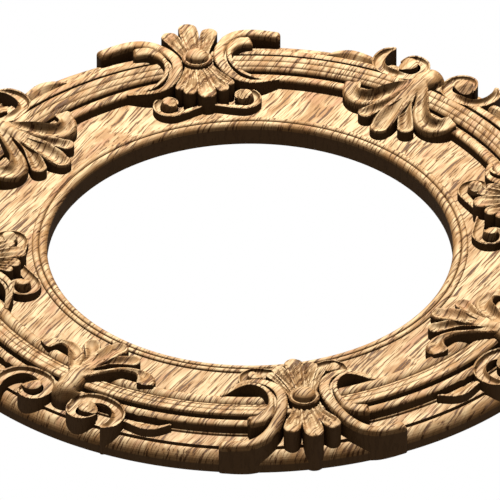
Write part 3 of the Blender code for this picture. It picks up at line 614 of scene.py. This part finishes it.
def settleLevels(triangles, level):
    # joins levels that nearly meet at a point, or that cross along an edge
    corners, sides = {}, {}
    for t, triangle in enumerate(triangles.tolist()):
        for c in range(3):
            corners.setdefault(triangle[c], []).append((t, c))
            sides.setdefault(tuple(sorted((triangle[c], triangle[c - 2]))), []).append(t)
    where = {(t, point): (t, c) for point, places in corners.items() for t, c in places}
    for places in corners.values():
        found = sorted({level[place] for place in places})
        start = found[0]
        for value, following in zip(found, found[1:] + [math.inf]):
            if following - value > meshing["joinLevels"]:
                for place in places:
                    if start <= level[place] <= value:
                        level[place] = value
                start = following
    for _ in range(20):
        crossed = 0
        for (a, b), pair in sides.items():
            if len(pair) == 2:
                atA = [level[where[t, a]] for t in pair]
                atB = [level[where[t, b]] for t in pair]
                if (atA[0] - atA[1]) * (atB[0] - atB[1]) < 0:
                    crossed += 1
                    point, ends = (a, atA) if abs(atA[0] - atA[1]) < abs(atB[0] - atB[1]) else (b, atB)
                    for place in corners[point]:
                        if min(ends) <= level[place] <= max(ends):
                            level[place] = max(ends)
        if not crossed:
            break
    return sides, where


def eighthMesh(flat, triangles, level, sides, where):
    places, vertices, faces, steps = {}, [], [], {}

    def vertex(point, height):
        key = (point, round(height, 4))
        if key not in places:
            places[key] = len(vertices)
            x, y = flat[point]
            vertices.append((x * 0.001, -height * 0.001, y * 0.001))     # turned upright, in metres
        return places[key]

    def wall(a, b, lowA, lowB, highA, highB):
        # the upright face between two levels, through every step at either end
        left = sorted(h for h in steps[a] if lowA <= h <= highA)
        right = sorted(h for h in steps[b] if lowB <= h <= highB)
        i = j = 0
        while i < len(left) - 1 or j < len(right) - 1:
            if j == len(right) - 1 or (i < len(left) - 1 and left[i + 1] <= right[j + 1]):
                faces.append((vertex(a, left[i]), vertex(b, right[j]), vertex(a, left[i + 1])))
                i += 1
            else:
                faces.append((vertex(a, left[i]), vertex(b, right[j]), vertex(b, right[j + 1])))
                j += 1

    for t, triangle in enumerate(triangles.tolist()):
        for c, point in enumerate(triangle):
            steps.setdefault(point, set()).add(level[t, c])
    rim = []
    onAxis, onDiagonal = flat[:, 0] == 0, flat[:, 0] == flat[:, 1]
    for (a, b), pair in sides.items():
        onMirror = (onAxis[a] and onAxis[b]) or (onDiagonal[a] and onDiagonal[b])
        if len(pair) == 1 and not onMirror:
            order = triangles[pair[0]].tolist()
            rim.append((a, b, pair[0]) if order[order.index(a) - 2] == b else (b, a, pair[0]))
            steps[a].add(0.0)
            steps[b].add(0.0)
    for t, triangle in enumerate(triangles.tolist()):
        faces.append(tuple(vertex(point, level[t, c]) for c, point in enumerate(triangle)))
    for (a, b), pair in sides.items():
        if len(pair) == 2:
            high, low = sorted(pair, key=lambda t: -(level[where[t, a]] + level[where[t, b]]))
            if any(level[where[high, p]] != level[where[low, p]] for p in (a, b)):
                order = triangles[high].tolist()
                if order[order.index(a) - 2] != b:
                    a, b = b, a
                wall(a, b, *(level[where[t, p]] for t in (low, high) for p in (a, b)))
    for a, b, t in rim:
        wall(a, b, 0.0, 0.0, level[where[t, a]], level[where[t, b]])
    # the flat back needs only the points on the edge of the wood
    used = sorted({point for a, b, _ in rim for point in (a, b)})
    number = {point: k for k, point in enumerate(used)}
    edges = [(number[a], number[b]) for a, b, _ in rim]
    ends = [p for p in used if sum(p in (a, b) for a, b, _ in rim) == 1]
    for onLine in (onAxis, onDiagonal):
        edges.append(tuple(number[p] for p in ends if onLine[p]))
    result = delaunay_2d_cdt([Vector(flat[p]) for p in used], edges, [], 1, 1e-5)
    for face in result[2]:
        corner = [used[result[3][k][0]] for k in face]
        if np.cross(flat[corner[1]] - flat[corner[0]], flat[corner[2]] - flat[corner[0]]) > 0:
            corner.reverse()
        faces.append(tuple(vertex(p, 0.0) for p in corner))
    mesh = bpy.data.meshes.new("carvedEighth")
    mesh.from_pydata(vertices, [], faces)
    return mesh


# The wood

class Wire:
    # one output socket, with arithmetic that adds Math nodes
    def __init__(self, net, socket):
        self.net, self.socket = net, socket

    def join(self, operation, first, second):
        return self.net.node("ShaderNodeMath", {"operation": operation}, {0: first, 1: second})

    def __add__(self, other):
        return self.join("ADD", self, other)

    def __radd__(self, other):
        return self.join("ADD", other, self)

    def __sub__(self, other):
        return self.join("SUBTRACT", self, other)

    def __rsub__(self, other):
        return self.join("SUBTRACT", other, self)

    def __mul__(self, other):
        return self.join("MULTIPLY", self, other)

    def __rmul__(self, other):
        return self.join("MULTIPLY", other, self)

    def absolute(self):
        return self.net.node("ShaderNodeMath", {"operation": "ABSOLUTE"}, {0: self})


class Net:
    def __init__(self, name):
        self.material = bpy.data.materials.new(name)
        self.material.use_nodes = True
        self.tree = self.material.node_tree
        self.shader = self.tree.nodes["Principled BSDF"]

    def node(self, kind, settings=None, values=None, output=0):
        made = self.tree.nodes.new(kind)
        for name, value in (settings or {}).items():
            setattr(made, name, value)
        for name, value in (values or {}).items():
            if isinstance(value, Wire):
                self.tree.links.new(value.socket, made.inputs[name])
            else:
                made.inputs[name].default_value = value
        return Wire(self, made.outputs[output])

    def feed(self, name, wire):
        self.tree.links.new(wire.socket, self.shader.inputs[name])


wood = {
    "grainAngle": 49.0,                  # degrees from +X, in the plane of the ring
    "depthRatio": 0.16,                  # the grain's layers stand nearly upright in the board
    "bend": 3.0,                         # how far the grain's lines sway
    "cream": (0.77, 0.57, 0.32, 1.0),
    "tan": (0.46, 0.26, 0.105, 1.0),
    "pink": (0.47, 0.235, 0.115, 1.0),
    "streak": (0.09, 0.034, 0.008, 1.0),
    # painted shade on slopes: the brown that tilted wood darkens towards; it also tints the halo round the
    # grain's streaks
    "slopes": (0.36, 0.175, 0.06, 1.0),
    "sides": (0.145, 0.076, 0.032, 1.0),   # painted shade: the dark colour that upright cuts are given
    "toolStep": 0.0015,                  # depth between the fine marks that the cutter left on slopes
    "grooves": 0.0009,                   # depth of the open grain
    "roughness": 0.6,
    "shine": 0.2,                        # specular level
}


def woodMaterial():
    net = Net("paleCarvedWood")
    place = net.node("ShaderNodeTexCoord", output="Object")
    turned = net.node("ShaderNodeMapping", {"vector_type": "POINT"},
                      {"Vector": place, "Rotation": (0.0, math.radians(wood["grainAngle"]), 0.0)})

    def noiseAlong(along, across, detail, roughness=0.5, sway=None):
        # noise drawn out along the grain; sway bends its lines
        size = (along, across * wood["depthRatio"], across)
        stretched = net.node("ShaderNodeVectorMath", {"operation": "MULTIPLY"}, {0: turned, 1: size})
        if sway is not None:
            stretched = net.node("ShaderNodeVectorMath", {"operation": "ADD"}, {0: stretched, 1: sway})
        values = {"Vector": stretched, "Scale": 1.0, "Detail": detail, "Roughness": roughness}
        return net.node("ShaderNodeTexNoise", {}, values)

    def between(value, low, high, top=1.0):
        return net.node("ShaderNodeMapRange", {"interpolation_type": "SMOOTHSTEP"},
                        {"Value": value, "From Min": low, "From Max": high, "To Min": 0.0, "To Max": top})

    def blend(factor, first, second):
        # sockets 6 and 7 are a Mix node's two colours, and output 2 is its colour
        return net.node("ShaderNodeMix", {"data_type": "RGBA"}, {"Factor": factor, 6: first, 7: second}, 2)

    bend = net.node("ShaderNodeTexNoise", {}, {"Vector": place, "Scale": 26.0, "Detail": 1.0}, "Color")
    reach = (0.0, wood["bend"], wood["bend"])
    sway = net.node("ShaderNodeVectorMath", {"operation": "MULTIPLY"}, {0: bend, 1: reach})
    fine = noiseAlong(20.0, 500.0, 3.0, 0.6, sway)
    hair = noiseAlong(32.0, 720.0, 2.0, 0.5, sway)
    broad = noiseAlong(7.0, 90.0, 2.0, 0.5, sway)
    patch = noiseAlong(22.0, 75.0, 2.0)
    halo = between(fine, 0.46, 0.58)
    streak = between(fine, 0.545, 0.61)
    thread = between(hair, 0.53, 0.66)
    body = blend(between(broad, 0.35, 0.7), wood["cream"], wood["tan"])
    body = blend(between(patch, 0.56, 0.72, 0.75), body, wood["pink"])
    # rise is 1 on flat wood and 0 on an upright cut
    facing = net.node("ShaderNodeTexCoord", output="Normal")
    rise = net.node("ShaderNodeSeparateXYZ", {}, {0: facing}, "Y").absolute()
    # painted shade: wood darkens towards the slopes colour as it tilts away from flat
    body = blend(0.75 - between(rise, 0.62, 0.995, 0.75), body, wood["slopes"])
    marked = blend(halo * 0.6 + thread * 0.35, body, wood["slopes"])
    marked = blend(streak * 0.9 + thread * 0.1, marked, wood["streak"])
    waves = {"Vector": place, "Scale": math.pi / 10 / wood["toolStep"], "Distortion": 1.4, "Detail": 0.0,
             "Detail Scale": 0.25}
    cuts = net.node("ShaderNodeTexWave", {"bands_direction": "Y"}, waves, 1)
    cuts = between(cuts, 0.55, 0.95) * (1.0 - between(rise, 0.8, 0.96))
    marked = blend(cuts * 0.3, marked, wood["streak"])
    # painted shade: the steeper the cut, the nearer its colour to the dark sides colour
    upright = 0.94 - between(rise, 0.06, 0.38, 0.94)
    net.feed("Base Color", blend(upright, marked, wood["sides"]))
    height = 1.0 - (streak * 0.7 + thread * 0.3)
    grooves = {"Strength": 0.55, "Distance": wood["grooves"], "Height": height}
    net.feed("Normal", net.node("ShaderNodeBump", {}, grooves))
    net.shader.inputs["Roughness"].default_value = wood["roughness"]
    net.shader.inputs["Specular IOR Level"].default_value = wood["shine"]
    return net.material


# Four palmettes and four leaves, repeated by Geometry Nodes

repeat = {
    "count": 4,
    "joinWithin": 0.000004,
    "crease": 38.0,                      # degrees between faces, past which an edge stays sharp
}


def repeatTree():
    tree = bpy.data.node_groups.new("repeatTheCarving", "GeometryNodeTree")
    face = tree.interface
    face.new_socket("Geometry", in_out="INPUT", socket_type="NodeSocketGeometry")
    face.new_socket("Repeats", in_out="INPUT", socket_type="NodeSocketInt")
    face.new_socket("Join within", in_out="INPUT", socket_type="NodeSocketFloat")
    face.new_socket("Finish", in_out="INPUT", socket_type="NodeSocketMaterial")
    face.new_socket("Geometry", in_out="OUTPUT", socket_type="NodeSocketGeometry")

    def add(kind, values=None, **settings):
        made = tree.nodes.new(kind)
        for name, value in settings.items():
            setattr(made, name, value)
        for name, value in (values or {}).items():
            if isinstance(value, bpy.types.NodeSocket):
                tree.links.new(value, made.inputs[name])
            else:
                made.inputs[name].default_value = value
        return made

    given = add("NodeGroupInput").outputs
    mirrored = add("GeometryNodeTransform", {"Geometry": given["Geometry"], "Scale": (-1.0, 1.0, 1.0)})
    flipped = add("GeometryNodeFlipFaces", {"Mesh": mirrored.outputs[0]})
    quarter = add("GeometryNodeJoinGeometry")
    tree.links.new(given["Geometry"], quarter.inputs[0])
    tree.links.new(flipped.outputs[0], quarter.inputs[0])
    points = add("GeometryNodePoints", {"Count": given["Repeats"]})
    index = add("GeometryNodeInputIndex")
    part = add("ShaderNodeMath", {0: index.outputs[0], 1: given["Repeats"]}, operation="DIVIDE")
    angle = add("ShaderNodeMath", {0: part.outputs[0], 1: 2 * math.pi}, operation="MULTIPLY")
    turn = add("ShaderNodeCombineXYZ", {"Y": angle.outputs[0]})
    placed = add("GeometryNodeInstanceOnPoints",
                 {"Points": points.outputs[0], "Instance": quarter.outputs[0]})
    tree.links.new(turn.outputs[0], placed.inputs["Rotation"])
    real = add("GeometryNodeRealizeInstances", {"Geometry": placed.outputs[0]})
    joined = add("GeometryNodeMergeByDistance",
                 {"Geometry": real.outputs[0], "Distance": given["Join within"]})
    finished = add("GeometryNodeSetMaterial", {"Geometry": joined.outputs[0], "Material": given["Finish"]})
    result = tree.nodes.new("NodeGroupOutput")
    tree.links.new(finished.outputs[0], result.inputs["Geometry"])
    return tree


def crispWalls(mesh):
    # an upright wall keeps its own shading, however gently the wood above it rounds over
    normals = np.zeros(len(mesh.polygons) * 3)
    mesh.polygons.foreach_get("normal", normals)
    sizes = np.zeros(len(mesh.polygons), int)
    mesh.polygons.foreach_get("loop_total", sizes)
    edges = np.zeros(len(mesh.loops), int)
    mesh.loops.foreach_get("edge_index", edges)
    rise = np.repeat(np.abs(normals[1::3]), sizes)
    steepest, flattest = np.ones(len(mesh.edges)), np.zeros(len(mesh.edges))
    np.minimum.at(steepest, edges, rise)
    np.maximum.at(flattest, edges, rise)
    sharp = np.zeros(len(mesh.edges), bool)
    mesh.edges.foreach_get("use_edge_sharp", sharp)
    mesh.edges.foreach_set("use_edge_sharp", sharp | ((steepest < 0.02) & (flattest > 0.1)))


def carvedFrame(material):
    shapes = palmetteShapes() + leafShapes()
    lines, spots = planOf(shapes)
    flat, triangles = triangulate(lines, spots)
    triangles, level = cornerHeights(flat, triangles, shapes)
    sides, where = settleLevels(triangles, level)
    eighth = bpy.data.objects.new("carvedEighth", eighthMesh(flat, triangles, level, sides, where))
    bpy.context.scene.collection.objects.link(eighth)
    print("one eighth carved:", len(eighth.data.polygons), "faces")
    tree = repeatTree()
    modifier = eighth.modifiers.new("repeat", "NODES")
    modifier.node_group = tree
    inputs = {item.name: item.identifier for item in tree.interface.items_tree if item.in_out == "INPUT"}
    modifier[inputs["Repeats"]] = repeat["count"]
    modifier[inputs["Join within"]] = repeat["joinWithin"]
    modifier[inputs["Finish"]] = material
    whole = bpy.data.meshes.new_from_object(eighth.evaluated_get(bpy.context.evaluated_depsgraph_get()))
    eighth.modifiers.remove(modifier)
    bpy.data.objects.remove(eighth)
    whole.name = "carvedRoundFrame"
    whole.shade_smooth()
    whole.set_sharp_from_angle(angle=math.radians(repeat["crease"]))
    crispWalls(whole)
    piece = bpy.data.objects.new("carvedRoundFrame", whole)
    bpy.context.scene.collection.objects.link(piece)
    return piece


woodFinish = woodMaterial()
carvedPiece = carvedFrame(woodFinish)
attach(carvedPiece, "root")
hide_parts("carved_frame")
print("frame carved:", len(carvedPiece.data.polygons), "faces")


# Camera, floor and light

view = {
    "turn": 10.48,                       # degrees that the camera sees the frame turned in its own plane
    "below": 35.87,                      # degrees between the line of sight and the frame's face
    "distance": 20.56,
    "aimAt": (0.0036, 0.0, 0.0195),
    "lens": 1500.0,
}


def photoCamera():
    turn, below = math.radians(view["turn"]), math.radians(view["below"])
    back = Vector((-math.sin(turn) * math.cos(below), -math.sin(below), -math.cos(turn) * math.cos(below)))
    right = Vector((math.cos(turn), 0.0, -math.sin(turn)))
    up = back.cross(right)
    data = bpy.data.cameras.new("photoCamera")
    data.lens = view["lens"]
    data.sensor_width = 36.0
    data.clip_start, data.clip_end = 0.5, 60.0
    camera = bpy.data.objects.new("photoCamera", data)
    bpy.context.scene.collection.objects.link(camera)
    axes = Matrix((right, up, back)).transposed().to_4x4()
    camera.matrix_world = Matrix.Translation(Vector(view["aimAt"]) + back * view["distance"]) @ axes
    bpy.context.scene.camera = camera


studio = {
    "floorDepth": 5.6,
    "floorRadius": 3.0,
    "floorTone": (0.86, 0.85, 0.83),
    "lightRise": 51.0,                   # degrees above the face, on the side away from the camera
    "lightDistance": 5.0,
    "lightSize": 1.6,
    "lightPower": 515.0,
    "lightColour": (1.0, 0.96, 0.9),
    "backPower": 3.2,                    # a sun lamp's strength
    "ambient": 0.17,
    "ambientColour": (1.0, 0.95, 0.88, 1.0),
}


def lightFrom(name, kind, towards, power):
    data = bpy.data.lights.new(name, kind)
    if kind == "AREA":
        data.shape = "DISK"
        data.size = studio["lightSize"]
    data.energy = power
    data.color = studio["lightColour"]
    data.use_shadow = False
    data.cycles.max_bounces = 0
    lamp = bpy.data.objects.new(name, data)
    turned = towards.to_track_quat("Z", "Y").to_matrix().to_4x4()
    lamp.matrix_world = Matrix.Translation(towards * studio["lightDistance"]) @ turned
    lamp.visible_camera = False
    lamp.visible_glossy = kind == "AREA"
    bpy.context.scene.collection.objects.link(lamp)


def paleFloor():
    radius, depth, sides = studio["floorRadius"], studio["floorDepth"], 64
    verts = [(0.0, 0.0, -depth)]
    for k in range(sides):
        angle = 2 * math.pi * k / sides
        verts.append((radius * math.cos(angle), radius * math.sin(angle), -depth))
    mesh = bpy.data.meshes.new("paleFloor")
    mesh.from_pydata(verts, [], [(0, k, k % sides + 1) for k in range(1, sides + 1)])
    net = Net("paleFloor")
    net.shader.inputs["Base Color"].default_value = (*studio["floorTone"], 1.0)
    net.shader.inputs["Roughness"].default_value = 0.8
    mesh.materials.append(net.material)
    floor = bpy.data.objects.new("paleFloor", mesh)
    bpy.context.scene.collection.objects.link(floor)


def studioLights():
    # from beyond the frame, as the camera sees it, so the sides that face the camera stay dark
    turn, rise = math.radians(view["turn"]), math.radians(studio["lightRise"])
    away = Vector((math.sin(turn), 0.0, math.cos(turn)))
    towards = away * math.cos(rise) + Vector((0.0, -1.0, 0.0)) * math.sin(rise)
    lightFrom("softKey", "AREA", towards, studio["lightPower"])
    # square on to the flat back, so it reaches nothing else
    lightFrom("backLight", "SUN", Vector((0.0, 1.0, 0.0)), studio["backPower"])


def whiteSurround():
    # white behind everything, and a dim even light from all sides
    world = bpy.data.worlds.new("whiteStudio")
    bpy.context.scene.world = world
    world.use_nodes = True
    nodes, links = world.node_tree.nodes, world.node_tree.links
    shown = nodes["Background"]
    shown.inputs["Color"].default_value = (1.0, 1.0, 1.0, 1.0)
    dim = nodes.new("ShaderNodeBackground")
    dim.inputs["Color"].default_value = studio["ambientColour"]
    dim.inputs["Strength"].default_value = studio["ambient"]
    seen = nodes.new("ShaderNodeLightPath")
    mix = nodes.new("ShaderNodeMixShader")
    links.new(seen.outputs["Is Camera Ray"], mix.inputs[0])
    links.new(dim.outputs[0], mix.inputs[1])
    links.new(shown.outputs[0], mix.inputs[2])
    links.new(mix.outputs[0], nodes["World Output"].inputs["Surface"])


photoCamera()
paleFloor()
studioLights()
whiteSurround()
bpy.context.scene.view_settings.view_transform = "Standard"
print("camera, floor and light placed")
